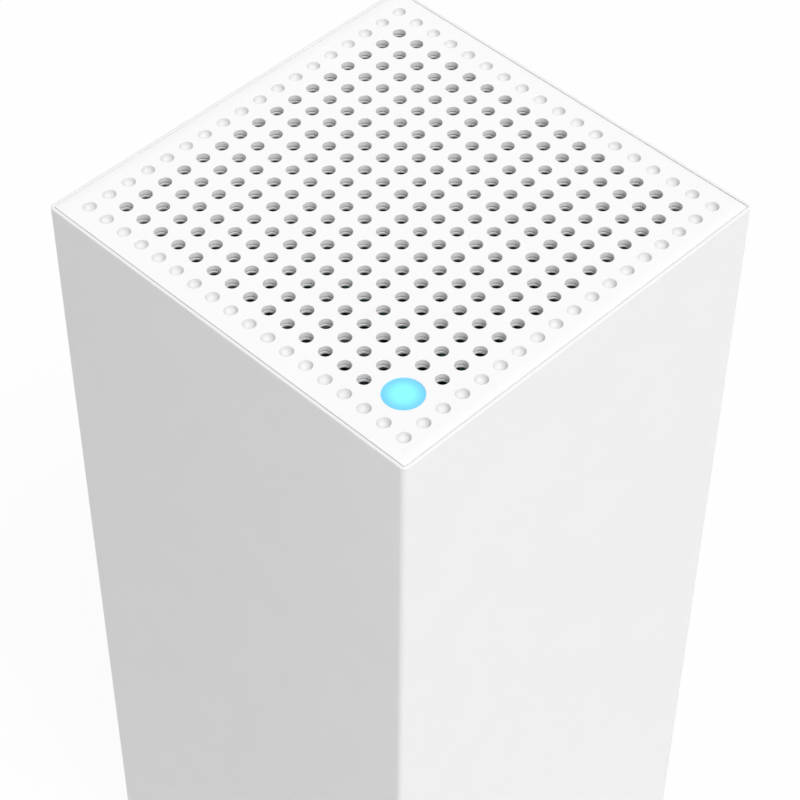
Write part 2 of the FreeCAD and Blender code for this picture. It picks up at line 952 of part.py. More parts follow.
def lan_contacts(x):
    """Eight bent spring wires. Each stands in its slot and leans out into the socket."""
    face = contact_floor - contact_wall
    outline = [
        (contact_floor, wire_high), (contact_floor, wire_low), (face, wire_low),
        (wire_tip_y, wire_low + wire_tip_rise),
        (wire_tip_y + wire_tip_back, wire_low + wire_tip_rise + 0.1),
        (face, wire_low + wire_foot), (face, wire_high)]
    wires = []
    for cx in contact_xs(x):
        points = [FreeCAD.Vector(cx - contact_width / 2, y, z) for y, z in outline]
        wires.append(prism_along(points, FreeCAD.Vector(contact_width, 0, 0)))
    return wires


# ---- Power inlet ----

power_bore_depth = 10.0
power_pin_recess = 1.5


def power_jack_body():
    body = block(
        span(power_jack_x, power_jack_width), (-power_jack_height, 0),
        (panel_bottom, panel_bottom + power_jack_depth))
    bore = rod(
        power_jack_x, power_jack_y, (panel_bottom - 1, panel_bottom + power_bore_depth),
        power_bore_radius)
    return body.cut(bore)


def power_jack_pin():
    z = (panel_bottom + power_pin_recess, panel_bottom + power_bore_depth)
    return rod(power_jack_x, power_jack_y, z, power_pin_radius)


# ---- Power switch ----

bezel_length = 15.0
bezel_width = 10.5
bezel_height = 1.5
pivot_radius = 0.9
pivot_reach = 0.6
pivot_z = panel_bottom + 0.1
rocker_edge_angle = 33.0
rocker_top = 1.2
blade_width = 3.0
blade_thickness = 0.8
blade_length = 5.0
blade_offset = 3.5
bezel_round = 1.0
pocket_depth = 3.0
pocket_end_gap = 0.15
pocket_side_gap = 0.1


def power_switch_body():
    """A moulded case with a rim that rests under the panel and a pocket for the rocker."""
    bezel = rounded_block(
        span(switch_x, bezel_length), span(switch_y, bezel_width),
        (panel_bottom - bezel_height, panel_bottom), bezel_round)
    case = block(
        span(switch_x, switch_length), span(switch_y, switch_width),
        (panel_bottom, panel_bottom + switch_depth))
    pocket = block(
        span(switch_x, 2 * (rocker_radius + pocket_end_gap)),
        span(switch_y, rocker_width + 2 * pocket_side_gap),
        (panel_bottom - bezel_height - 1, pivot_z + pocket_depth))
    reach = rocker_width / 2 + pivot_reach + running_gap
    pivot = rod_along_y(
        switch_x, (switch_y - reach, switch_y + reach), pivot_z, pivot_radius + running_gap)
    return joined([bezel, case]).cut([pocket, pivot])


def power_switch_rocker():
    """A paddle with a shallow V face and round ends, tilted to its off position."""
    edge = math.radians(rocker_edge_angle)
    top = math.asin(rocker_top / rocker_radius)
    tilt = math.radians(rocker_tilt)
    ridge = rocker_radius * (math.sin(edge) - math.cos(edge) * math.tan(tilt))
    y = switch_y - rocker_width / 2

    def place(radius, angle):
        return FreeCAD.Vector(
            switch_x + radius * math.cos(angle), y, pivot_z + radius * math.sin(angle))

    right = Part.Arc(
        place(rocker_radius, -edge), place(rocker_radius, 0), place(rocker_radius, top))
    left = Part.Arc(
        place(rocker_radius, math.pi - top), place(rocker_radius, math.pi),
        place(rocker_radius, math.pi + edge))
    crest = FreeCAD.Vector(switch_x, y, pivot_z - ridge)
    outline = Part.Wire([
        right.toShape(),
        Part.makeLine(right.EndPoint, left.StartPoint),
        left.toShape(),
        Part.makeLine(left.EndPoint, crest),
        Part.makeLine(crest, right.StartPoint)])
    paddle = Part.Face(outline).extrude(FreeCAD.Vector(0, rocker_width, 0))
    reach = rocker_width / 2 + pivot_reach
    pivot = rod_along_y(switch_x, (switch_y - reach, switch_y + reach), pivot_z, pivot_radius)
    rocker = joined([paddle, pivot])
    rocker.rotate(
        FreeCAD.Vector(switch_x, switch_y, pivot_z), FreeCAD.Vector(0, 1, 0), -rocker_tilt)
    return rocker


def power_switch_blades():
    top = panel_bottom + switch_depth
    return [
        block(
            span(switch_x + side * blade_offset, blade_thickness), span(switch_y, blade_width),
            (top, top + blade_length))
        for side in (-1, 1)]


switch_socket_z = board_bottom + 16.0
switch_socket_length = 11.0
switch_wire_radius = 0.6
switch_wire_bend = 2.0
wire_over_socket = 4.0
wire_over_blade = 3.0


def switch_wire_socket():
    return block(
        span(switch_x, switch_socket_length), (board_back, board_back + wire_socket_height + 1),
        span(switch_socket_z, wire_socket_side))


def power_switch_wires():
    """Two wires from the blades, over and down into the board's socket."""
    blade_top = panel_bottom + switch_depth + blade_length
    over = max(switch_socket_z + wire_socket_side / 2 + wire_over_socket, blade_top + wire_over_blade)
    socket_y = board_back + (wire_socket_height + 1) / 2
    wires = []
    for side in (-1, 1):
        x = switch_x + side * blade_offset
        wires.append(cable([
            FreeCAD.Vector(x, switch_y, blade_top),
            FreeCAD.Vector(x, switch_y, over),
            FreeCAD.Vector(x, socket_y, over),
            FreeCAD.Vector(x, socket_y, switch_socket_z + wire_socket_side / 2)],
            switch_wire_radius, switch_wire_bend))
    return wires


# ---- Reset button ----

reset_recess = 0.3
reset_flange_radius = 2.6
reset_flange = 0.8
reset_stem_radius = 1.2
plunger_radius = 1.0
reset_stem_length = 3.0
plunger_bottom = panel_top + reset_stem_length
plunger_stand = 1.0
tact_side = 6.0
tact_height = 3.5
plunger_sunk = 0.5
tact_half_depth = 1.8
plunger_end_gap = 0.2


def reset_button():
    face = panel_bottom + reset_recess
    head = rod(reset_x, reset_y, (face, panel_top), reset_radius)
    flange = rod(reset_x, reset_y, (panel_top, panel_top + reset_flange), reset_flange_radius)
    stem = rod(reset_x, reset_y, (panel_top + reset_flange, plunger_bottom), reset_stem_radius)
    return joined([head, flange, stem])


def reset_switch_body():
    bottom = plunger_bottom + plunger_stand
    body = block(span(reset_x, tact_side), (board_back, reset_y + tact_half_depth),
                 (bottom, bottom + tact_height))
    well_top = bottom + plunger_sunk + reset_travel + plunger_end_gap
    well = rod(reset_x, reset_y, (bottom - 1, well_top), plunger_radius + running_gap)
    return body.cut(well)


def reset_switch_plunger():
    top = plunger_bottom + plunger_stand + plunger_sunk
    return rod(reset_x, reset_y, (plunger_bottom, top), plunger_radius)


# ---- Antennas ----

# Each antenna: the side it is on, its place along that side, and the place of its
# connector in the row on the radio board. A lead's level sets how high it crosses.
antennas = {
    "left_rear": ("-x", antenna_side, 0, 0),
    "left_front": ("-x", -antenna_side, 1, 2),
    "front": ("-y", 0.0, 2, 4),
    "rear": ("+y", 0.0, 3, 5),
    "right_front": ("+x", -antenna_side, 4, 3),
    "right_rear": ("+x", antenna_side, 5, 1),
}
connector_pitch = 5.6
connector_side = 2.6
connector_height = 1.6
connector_z = radio_top - 7.0
antenna_slot_width = 1.0
antenna_slot_end = 6.0
antenna_bridge = 4.0
lead_rise = 1.5
lead_bend = 2.0


def connector_x(order):
    return (order - (len(antennas) - 1) / 2) * connector_pitch


def antenna(name):
    """A thin printed board, slotted into two arms, fixed to the inner face of the crossbars."""
    side, along, order, level = antennas[name]
    across = span(along, antenna_width)
    z = (antenna_bottom, antenna_top)
    middle = (antenna_bottom + antenna_top) / 2
    slot = span(along, antenna_slot_width)
    low_slot = (antenna_bottom + antenna_slot_end, middle - antenna_bridge / 2)
    high_slot = (middle + antenna_bridge / 2, antenna_top - antenna_slot_end)
    sign = -1 if side[0] == "-" else 1
    depth = sorted((sign * antenna_face, sign * (antenna_face - antenna_thickness)))
    deep = (depth[0] - 1, depth[1] + 1)
    if side[1] == "x":
        return block(depth, across, z).cut([block(deep, slot, s) for s in (low_slot, high_slot)])
    return block(across, depth, z).cut([block(slot, deep, s) for s in (low_slot, high_slot)])


def antenna_lead(name):
    """A thin coaxial lead: up from its connector, across the top, and down the antenna."""
    side, along, order, level = antennas[name]
    x = connector_x(order)
    y = radio_back + connector_height / 2
    bottom = connector_z + connector_side / 2
    over = board_top + lead_rise + level * lead_spacing
    feed_z = (antenna_bottom + antenna_top) / 2
    sign = -1 if side[0] == "-" else 1
    reach = sign * (antenna_face - antenna_thickness - lead_radius - loose_gap)
    points = [FreeCAD.Vector(x, y, bottom), FreeCAD.Vector(x, y, over)]
    if side[1] == "x":
        points.append(FreeCAD.Vector(x, along, over))
        points.append(FreeCAD.Vector(reach, along, over))
        points.append(FreeCAD.Vector(reach, along, feed_z))
    else:
        points.append(FreeCAD.Vector(x, reach, over))
        points.append(FreeCAD.Vector(x, reach, feed_z))
    return cable(points, lead_radius, lead_bend)


def antenna_connectors():
    y = (radio_back, radio_back + connector_height)
    return [
        block(span(connector_x(order), connector_side), y, span(connector_z, connector_side))
        for order in range(len(antennas))]


# ---- Write every piece ----

def light_board_screws():
    screws = []
    for x, y in light_screw_places():
        head = rod(x, y, (light_board_top, light_board_top + screw_head_height), screw_head_radius)
        shank = rod(x, y, (ring_bottom, light_board_top), screw_radius)
        screws.append(joined([head, shank]))
    return screws


single_pieces = (
    outer_sleeve, top_cover, vent_liner, light_lens, light_tunnel, light_board, status_led,
    light_cable, base_frame, port_panel, chassis,
    main_board, radio_board, main_processor, flash_chip, network_chip, processor_can,
    main_heat_sink, radio_heat_sink, stack_plug, stack_socket, power_jack_body, power_jack_pin,
    power_switch_body, power_switch_rocker, switch_wire_socket, reset_button, reset_switch_body,
    reset_switch_plunger)
groups = (
    rubber_feet, base_screws, sleeve_screws, light_board_screws, light_cable_sockets,
    board_screws, standoffs, heat_sink_screws, memory_chips, processor_pads, radio_pads, lan_magnetics,
    power_inductors, power_capacitors, power_switch_blades, power_switch_wires,
    antenna_connectors)

for piece in single_pieces:
    write(piece.__name__, [piece()])
for group in groups:
    write(group.__name__, group())
for side, x in (("left", lan_left_x), ("right", lan_right_x)):
    write("lan_shell_" + side, [lan_shell(x)])
    write("lan_insert_" + side, [lan_insert(x)])
write("lan_contacts", lan_contacts(lan_left_x) + lan_contacts(lan_right_x))
for name in antennas:
    write("antenna_" + name, [antenna(name)])
write("antenna_leads", [antenna_lead(name) for name in antennas])
write("radio_cans", [radio_can(name) for name in radio_names])
write("radio_chips", [radio_chip(name) for name in radio_names])
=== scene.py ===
import math

import bmesh
import bpy
from mathutils import Matrix, Vector


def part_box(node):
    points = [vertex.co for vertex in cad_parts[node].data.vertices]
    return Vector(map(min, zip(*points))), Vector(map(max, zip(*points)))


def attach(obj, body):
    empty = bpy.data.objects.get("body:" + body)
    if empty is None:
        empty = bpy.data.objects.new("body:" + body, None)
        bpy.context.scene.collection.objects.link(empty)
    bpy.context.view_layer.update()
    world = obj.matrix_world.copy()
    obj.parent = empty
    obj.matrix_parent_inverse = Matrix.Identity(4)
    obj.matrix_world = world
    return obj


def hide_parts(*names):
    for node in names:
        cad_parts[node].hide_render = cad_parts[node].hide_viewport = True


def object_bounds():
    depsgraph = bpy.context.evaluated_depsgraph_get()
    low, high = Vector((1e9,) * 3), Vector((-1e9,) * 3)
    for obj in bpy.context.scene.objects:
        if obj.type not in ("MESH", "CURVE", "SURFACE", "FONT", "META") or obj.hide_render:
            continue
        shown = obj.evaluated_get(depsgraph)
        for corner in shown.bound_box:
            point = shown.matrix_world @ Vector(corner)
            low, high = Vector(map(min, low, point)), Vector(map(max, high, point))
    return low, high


# A mesh wifi node: a square white tower with a vented top and a glowing status light. It is
# put together from the inside out: chassis, boards, ports, base, light, sleeve and cover.

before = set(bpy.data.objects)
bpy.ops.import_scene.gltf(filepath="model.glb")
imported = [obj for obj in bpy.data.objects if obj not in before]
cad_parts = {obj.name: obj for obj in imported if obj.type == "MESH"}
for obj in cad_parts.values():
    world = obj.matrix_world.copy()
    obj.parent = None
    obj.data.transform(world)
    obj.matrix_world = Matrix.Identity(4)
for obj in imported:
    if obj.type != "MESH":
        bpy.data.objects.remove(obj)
cad_box = [[float(v) for v in corner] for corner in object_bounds()]

mm = 0.001
same_place = 0.001 * mm
near = 0.01 * mm
tower_top = cad_box[1][2]
tower_half = cad_box[1][0]


# ---- The chassis ----
# The inner skeleton: four posts, two square rings, two rails and the bars for the antennas.
# It is moulded in dark grey plastic with a fine matt texture, and the boards slide into it.

def new_material(name):
    """An empty node material. Gives back the material, its nodes, its links and its shader."""
    material = bpy.data.materials.new(name)
    material.use_nodes = True
    nodes = material.node_tree.nodes
    return material, nodes, material.node_tree.links, nodes["Principled BSDF"]


def grain(nodes, links, size, stretch=(1, 1, 1), detail=4.0):
    """Noise whose spots are about as wide as size, in metres."""
    place = nodes.new("ShaderNodeTexCoord")
    scaled = nodes.new("ShaderNodeMapping")
    scaled.inputs["Scale"].default_value = stretch
    noise = nodes.new("ShaderNodeTexNoise")
    noise.inputs["Scale"].default_value = 1 / size
    noise.inputs["Detail"].default_value = detail
    links.new(place.outputs["Object"], scaled.inputs["Vector"])
    links.new(scaled.outputs["Vector"], noise.inputs["Vector"])
    return noise.outputs["Fac"]


def spread(nodes, links, value, low, high):
    """The noise's middle range, spread between two values."""
    ranged = nodes.new("ShaderNodeMapRange")
    ranged.inputs["From Min"].default_value = 0.3
    ranged.inputs["From Max"].default_value = 0.7
    ranged.inputs["To Min"].default_value = low
    ranged.inputs["To Max"].default_value = high
    links.new(value, ranged.inputs["Value"])
    return ranged.outputs["Result"]


def tint(nodes, links, shader, value, color, change):
    """The colour, a little darker and lighter by turns."""
    mix = nodes.new("ShaderNodeMix")
    mix.data_type = "RGBA"
    mix.inputs["A"].default_value = [c * (1 - change) for c in color] + [1]
    mix.inputs["B"].default_value = [min(c * (1 + change), 1) for c in color] + [1]
    links.new(spread(nodes, links, value, 0, 1), mix.inputs["Factor"])
    links.new(mix.outputs["Result"], shader.inputs["Base Color"])


def bump(nodes, links, shader, value, depth):
    """Raises and lowers the surface by about depth, in metres."""
    relief = nodes.new("ShaderNodeBump")
    relief.inputs["Strength"].default_value = 1
    relief.inputs["Distance"].default_value = depth
    links.new(value, relief.inputs["Height"])
    links.new(relief.outputs["Normal"], shader.inputs["Normal"])


def moulded(name, color, roughness, grain_size=0.15 * mm, grain_depth=0.004 * mm, change=0.02):
    """Moulded plastic: a fine even texture, and a slow drift of tone over each face."""
    material, nodes, links, shader = new_material(name)
    fine = grain(nodes, links, grain_size)
    broad = grain(nodes, links, 12 * mm, detail=2.0)
    tint(nodes, links, shader, broad, color, change)
    rough = spread(nodes, links, fine, roughness - 0.04, roughness + 0.04)
    links.new(rough, shader.inputs["Roughness"])
    bump(nodes, links, shader, fine, grain_depth)
    return material


def metal(name, color, roughness, stretch=(1, 1, 1), grain_size=0.2 * mm, grain_depth=0.003 * mm):
    """Bare or plated metal. A stretched grain makes drawn or brushed lines."""
    material, nodes, links, shader = new_material(name)
    shader.inputs["Metallic"].default_value = 1
    fine = grain(nodes, links, grain_size, stretch)
    broad = grain(nodes, links, 6 * mm, detail=3.0)
    tint(nodes, links, shader, broad, color, 0.08)
    links.new(spread(nodes, links, fine, roughness - 0.08, roughness + 0.08), shader.inputs["Roughness"])
    bump(nodes, links, shader, fine, grain_depth)
    return material


def paint(material, *names):
    """Gives CAD pieces their finish."""
    for name in names:
        for material_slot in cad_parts[name].material_slots:
            material_slot.material = material


paint(moulded("chassis_plastic", (0.05, 0.05, 0.055), 0.6), "chassis")


# ---- The boards ----
# Glass-fibre printed boards under a green lacquer. Copper tracks show through the lacquer as
# slightly paler lines. Screws hold them to the chassis and to the brass spacers between them.

track_width = 0.5 * mm


def printed_board(name, color):
    """Lacquered board: paler squarish tracks under a clear, fairly glossy coat."""
    material, nodes, links, shader = new_material(name)
    place = nodes.new("ShaderNodeTexCoord")
    tracks = nodes.new("ShaderNodeTexVoronoi")
    tracks.distance = "MANHATTAN"
    tracks.feature = "F1"
    tracks.inputs["Scale"].default_value = 1 / (6 * track_width)
    links.new(place.outputs["Object"], tracks.inputs["Vector"])
    tint(nodes, links, shader, tracks.outputs["Distance"], color, 0.3)
    bump(nodes, links, shader, tracks.outputs["Distance"], 0.02 * mm)
    fine = grain(nodes, links, 0.4 * mm)
    links.new(spread(nodes, links, fine, 0.25, 0.4), shader.inputs["Roughness"])
    return material


paint(printed_board("green_board", (0.02, 0.12, 0.05)), "main_board", "radio_board", "light_board")
paint(printed_board("antenna_laminate", (0.03, 0.09, 0.06)), *[
    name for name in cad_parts
    if name.startswith("antenna_") and name not in ("antenna_leads", "antenna_connectors")])
paint(metal("screw_steel", (0.62, 0.62, 0.63), 0.35),
      "board_screws", "heat_sink_screws", "light_board_screws")
paint(metal("spacer_brass", (0.78, 0.58, 0.27), 0.3, stretch=(1, 0.1, 1)), "standoffs")


# ---- What stands on the boards ----
# Black moulded chips, tinned steel cans over the processor and the radios, soft grey pads
# against the heat sinks, and the coils, capacitors and connectors of the power and signals.

paint(moulded("chip_epoxy", (0.025, 0.025, 0.027), 0.5, grain_size=0.1 * mm),
      "main_processor", "memory_chips", "flash_chip", "network_chip", "radio_chips",
      "stack_plug", "stack_socket", "lan_magnetics", "reset_switch_body",
      "reset_switch_plunger")
paint(metal("tinned_can", (0.74, 0.74, 0.72), 0.28), "processor_can", "radio_cans")
paint(moulded("pad_silicone", (0.32, 0.34, 0.38), 0.85, grain_size=0.5 * mm),
      "processor_pads", "radio_pads")
paint(moulded("coil_ferrite", (0.09, 0.09, 0.095), 0.7, grain_size=0.3 * mm), "power_inductors")
paint(metal("capacitor_can", (0.72, 0.72, 0.73), 0.3, stretch=(1, 0.05, 1)), "power_capacitors")
paint(moulded("socket_nylon", (0.78, 0.73, 0.58), 0.45), "light_cable_sockets", "switch_wire_socket")
paint(metal("contact_gold", (0.83, 0.62, 0.25), 0.22),
      "antenna_connectors", "power_switch_blades", "lan_contacts")


# ---- The heat sinks ----
# Two extruded aluminium blocks with upright fins, cut to length and left bare. The die leaves
# fine lines along the fins.

paint(metal("extruded_aluminium", (0.77, 0.78, 0.79), 0.38, stretch=(1, 1, 0.03)),
      "main_heat_sink", "radio_heat_sink")


# ---- Wires and leads ----
# The light's cable, the switch's two wires and the six thin coaxial leads of the antennas,
# each in a smooth plastic sheath that is slightly glossy.

paint(moulded("sheath_white", (0.7, 0.7, 0.69), 0.4, grain_size=0.6 * mm), "light_cable")
paint(moulded("sheath_red", (0.42, 0.02, 0.015), 0.4, grain_size=0.6 * mm), "power_switch_wires")
paint(moulded("sheath_grey", (0.09, 0.09, 0.1), 0.4, grain_size=0.6 * mm), "antenna_leads")


# ---- The network sockets ----
# Each is a folded and plated steel can round a black plastic block, soldered to the main
# board with its mouth in the port panel. The edges are folded or moulded, never quite sharp.

sharp_angle = math.radians(35)
flat_angle = math.radians(1)
fold_round = 0.1 * mm
mould_round = 0.12 * mm
block_round = 0.15 * mm


def finished(bm, name, material, body, slot, *nodes):
    """Turns a bmesh into a piece that stands for CAD nodes and rides on a body."""
    for edge in bm.edges:
        edge.smooth = len(edge.link_faces) != 2 or edge.calc_face_angle(0) < sharp_angle
    for face in bm.faces:
        face.smooth = True
    mesh = bpy.data.meshes.new(name)
    bm.to_mesh(mesh)
    bm.free()
    piece = bpy.data.objects.new(name, mesh)
    bpy.context.collection.objects.link(piece)
    mesh.materials.append(material)
    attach(piece, body)
    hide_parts(*nodes)
    return piece


def softened(node, name, material, body, slot, radius, steps=2):
    """A CAD piece with its corners rounded off, as a mould or a fold leaves them."""
    bm = bmesh.new()
    bm.from_mesh(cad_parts[node].data)
    bmesh.ops.remove_doubles(bm, verts=bm.verts, dist=same_place)
    bmesh.ops.dissolve_limit(bm, angle_limit=flat_angle, verts=bm.verts, edges=bm.edges)
    sharp = [e for e in bm.edges if len(e.link_faces) == 2 and e.calc_face_angle(0) > sharp_angle]
    bmesh.ops.bevel(bm, geom=sharp, offset=radius, segments=steps, affect="EDGES", profile=0.5,
                    material=-1, clamp_overlap=True)
    return finished(bm, name, material, body, slot, node)


socket_can = metal("plated_steel", (0.72, 0.71, 0.69), 0.3, stretch=(1, 1, 0.1))
socket_black = moulded("socket_black", (0.03, 0.03, 0.032), 0.5)
for side in ("left", "right"):
    softened("lan_shell_" + side, "network_can_" + side, socket_can, "tower", "lan_metal", fold_round)
    softened("lan_insert_" + side, "network_block_" + side, socket_black, "tower", "lan_plastic",
             mould_round)


# ---- The power inlet ----
# A black moulded block with a round well, and a nickel-plated pin with a rounded tip in the
# middle of it. A barrel plug goes over the pin.

def turned(profile, x, y, steps=48):
    """A solid turned about the upright line through x, y. The profile is (radius, height)."""
    bm = bmesh.new()
    points = [bm.verts.new((x + radius, y, height)) for radius, height in profile]
    edges = [bm.edges.new(pair) for pair in zip(points, points[1:])]
    bmesh.ops.spin(bm, geom=points + edges, cent=(x, y, 0), axis=(0, 0, 1),
                   angle=2 * math.pi, steps=steps, use_merge=True)
    bmesh.ops.remove_doubles(bm, verts=bm.verts, dist=same_place)
    bmesh.ops.recalc_face_normals(bm, faces=bm.faces)
    return bm


def centre_of(node):
    low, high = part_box(node)
    return (low[0] + high[0]) / 2, (low[1] + high[1]) / 2


def rounding(radius, height, corner, upward, steps=4):
    """Profile points round a corner, from the wall to the flat end."""
    points = []
    for i in range(steps + 1):
        turn = math.pi / 2 * i / steps
        points.append((radius - corner * (1 - math.cos(turn)),
                       height - upward * corner * (1 - math.sin(turn))))
    return points


softened("power_jack_body", "power_block", socket_black, "tower", "jack_black", block_round)
pin_low, pin_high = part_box("power_jack_pin")
pin_x, pin_y = centre_of("power_jack_pin")
pin_radius = (pin_high[0] - pin_low[0]) / 2
pin_round = 0.5 * mm
pin = turned(
    [(0, pin_high[2]), (pin_radius, pin_high[2])]
    + rounding(pin_radius, pin_low[2], pin_round, -1) + [(0, pin_low[2])],
    pin_x, pin_y, steps=24)
finished(pin, "power_pin", metal("pin_nickel", (0.74, 0.72, 0.68), 0.15), "tower", "pin_nickel",
         "power_jack_pin")


# ---- The power switch ----
# A black case that snaps into the port panel, and a rocker on two short pins. The rocker is
# polished by the mould, and the case round it has a finer matt texture.

softened("power_switch_body", "switch_case", socket_black, "tower", "switch_black", mould_round)
softened("power_switch_rocker", "switch_rocker",
         moulded("rocker_gloss", (0.03, 0.03, 0.032), 0.25, grain_depth=0.001 * mm),
         "rocker", "rocker_black", mould_round)


# ---- The reset button ----
# A small red plunger, sunk in its hole so that only a pin reaches it. Its foot rests on the
# plunger of a switch on the main board.

softened("reset_button", "reset_plunger", moulded("reset_red", (0.5, 0.03, 0.02), 0.45),
         "reset_button", "reset_red", mould_round)


# ---- The base ----
# A pale grey moulding that closes the tower: a plate, the walls of the port bay, and the roof
# of the cable channel. A darker panel at the top of the bay carries the ports.

base_round = 0.2 * mm
screw_round = 0.15 * mm
base_plastic = moulded("base_plastic", (0.62, 0.63, 0.635), 0.55)
panel_plastic = moulded("panel_plastic", (0.38, 0.39, 0.4), 0.6)
softened("base_frame", "base_moulding", base_plastic, "tower", "base_grey", base_round)
softened("port_panel", "port_plate", panel_plastic, "tower", "panel_grey", fold_round)
steel_screws = metal("base_screw_steel", (0.6, 0.6, 0.61), 0.32)
softened("base_screws", "base_screw_set", steel_screws, "tower", "screw_steel", screw_round)
softened("sleeve_screws", "sleeve_screw_set", steel_screws, "tower", "screw_steel", screw_round)


# ---- The feet ----
# Four soft grey rubber discs, glued into shallow round recesses in the base.

foot_low, foot_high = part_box("rubber_feet")
foot_radius = 4.0 * mm
foot_round = 0.4 * mm
foot_x = foot_high[0] - foot_radius
foot_y = foot_high[1] - foot_radius
feet = bmesh.new()
for side_x in (-1, 1):
    for side_y in (-1, 1):
        foot = turned(
            [(0, foot_high[2]), (foot_radius, foot_high[2])]
            + rounding(foot_radius, foot_low[2], foot_round, -1) + [(0, foot_low[2])],
            side_x * foot_x, side_y * foot_y)
        part = bpy.data.meshes.new("foot")
        foot.to_mesh(part)
        foot.free()
        feet.from_mesh(part)
        bpy.data.meshes.remove(part)
finished(feet, "feet", moulded("foot_rubber", (0.12, 0.125, 0.13), 0.8, grain_size=0.4 * mm,
         grain_depth=0.01 * mm), "tower", "foot_rubber", "rubber_feet")


# ---- The status light ----
# A frosted disc, lit from below by a lamp on a small board through a white tube. It glows an
# even pale cyan that turns a little bluer towards its rim.

paint(moulded("tube_white", (0.8, 0.8, 0.8), 0.5), "light_tunnel")
paint(moulded("lamp_phosphor", (0.85, 0.8, 0.45), 0.3), "status_led")

lens_low, lens_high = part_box("light_lens")
light_x, light_y = centre_of("light_lens")
light_radius = 6.55 * mm / 2
lens_round = 0.15 * mm
flange_thickness = 0.8 * mm
flange_radius = (lens_high[0] - lens_low[0]) / 2
flange_top = lens_low[2] + flange_thickness


def glowing(name):
    """A lit diffuser: palest in the middle, bluer at the rim."""
    material, nodes, links, shader = new_material(name)
    place = nodes.new("ShaderNodeTexCoord")
    centred = nodes.new("ShaderNodeMapping")
    centred.inputs["Location"].default_value = (-light_x, -light_y, 0)
    flat = nodes.new("ShaderNodeVectorMath")
    flat.operation = "MULTIPLY"
    flat.inputs[1].default_value = (1, 1, 0)
    length = nodes.new("ShaderNodeVectorMath")
    length.operation = "LENGTH"
    ramp = nodes.new("ShaderNodeMapRange")
    ramp.interpolation_type = "SMOOTHSTEP"
    ramp.inputs["From Min"].default_value = 0.25 * light_radius
    ramp.inputs["From Max"].default_value = 1.05 * light_radius
    mix = nodes.new("ShaderNodeMix")
    mix.data_type = "RGBA"
    mix.inputs["A"].default_value = (0.25, 1.0, 1.0, 1)
    mix.inputs["B"].default_value = (0.16, 0.62, 0.98, 1)
    links.new(place.outputs["Object"], centred.inputs["Vector"])
    links.new(centred.outputs["Vector"], flat.inputs[0])
    links.new(flat.outputs["Vector"], length.inputs[0])
    links.new(length.outputs["Value"], ramp.inputs["Value"])
    links.new(ramp.outputs["Result"], mix.inputs["Factor"])
    links.new(mix.outputs["Result"], shader.inputs["Emission Color"])
    shader.inputs["Emission Strength"].default_value = 0.95
    shader.inputs["Base Color"].default_value = (0.02, 0.06, 0.06, 1)
    fine = grain(nodes, links, 0.2 * mm)
    links.new(spread(nodes, links, fine, 0.5, 0.6), shader.inputs["Roughness"])
    return material


lens = turned(
    [(0, lens_low[2]), (flange_radius, lens_low[2]), (flange_radius, flange_top),
     (light_radius, flange_top)]
    + rounding(light_radius, lens_high[2], lens_round, 1) + [(0, lens_high[2])],
    light_x, light_y, steps=64)
finished(lens, "light_disc", glowing("lit_diffuser"), "tower", "lens_cyan", "light_lens")


# ---- The sleeve ----
# One tall white moulding, open at the bottom. Its top edge is a thin rounded lip, and a shelf
# inside the lip carries the cover. The cables leave through a notch at the foot of the rear.

wall = 2.2 * mm
lip_width = 0.55 * mm
lip_round = 0.22 * mm
groove_width = 0.13 * mm
lip_inner_round = 0.1 * mm
corner_radius = 1.0 * mm
recess_corner = 0.3 * mm
least_corner = 0.15 * mm
shelf_thickness = 2.0 * mm
notch_height = 12.0 * mm
notch_margin = 0.1 * mm
holes_per_side = 18
hole_margin = 4.6 * mm
hole_pitch = (2 * tower_half - 2 * hole_margin) / (holes_per_side - 1)
shelf_inner = tower_half - hole_margin - hole_pitch / 2
sleeve_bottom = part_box("outer_sleeve")[0][2]
shelf_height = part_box("vent_liner")[0][2]
shelf_under = shelf_height - shelf_thickness
notch_half = 15.0 * mm
notch_top = sleeve_bottom + notch_height


def rounded_square(bm, half, height, radius, steps=6):
    """The outline of a square with rounded corners. Gives back its points in order."""
    ring = []
    for quarter in range(4):
        middle = math.pi / 2 * (quarter + 0.5)
        centre_x = math.copysign(half - radius, math.cos(middle))
        centre_y = math.copysign(half - radius, math.sin(middle))
        for step in range(steps + 1):
            turn = math.pi / 2 * (quarter + step / steps)
            ring.append(bm.verts.new((centre_x + radius * math.cos(turn),
                                      centre_y + radius * math.sin(turn), height)))
    return ring


def lofted_squares(profile):
    """A closed tube through rounded squares. The profile is (half, height, corner radius)."""
    bm = bmesh.new()
    rings = [rounded_square(bm, *step) for step in profile]
    for lower, upper in zip(rings, rings[1:] + rings[:1]):
        for i, vert in enumerate(lower):
            bm.faces.new((lower[i - 1], vert, upper[i], upper[i - 1]))
    bmesh.ops.recalc_face_normals(bm, faces=bm.faces)
    return bm


def lip_corner(half, radius, corner, side, steps=4):
    """The lip's top edge, rounded from its side wall to its flat top."""
    points = []
    for i in range(steps + 1):
        turn = math.pi / 2 * i / steps
        inset = corner * (1 - math.cos(turn)) * side
        points.append((half - inset, tower_top - corner * (1 - math.sin(turn)),
                       max(radius - inset, least_corner)))
    return points


inner_half = tower_half - wall
recess_half = tower_half - lip_width
sleeve_profile = [(tower_half, sleeve_bottom, corner_radius)]
sleeve_profile += lip_corner(tower_half, corner_radius, lip_round, 1)
sleeve_profile += lip_corner(recess_half, recess_corner, lip_inner_round, -1)[::-1]
sleeve_profile += [
    (recess_half, shelf_height, recess_corner),
    (shelf_inner, shelf_height, recess_corner),
    (shelf_inner, shelf_under, recess_corner),
    (inner_half, shelf_under, corner_radius),
    (inner_half, sleeve_bottom, corner_radius)]
sleeve = lofted_squares(sleeve_profile)


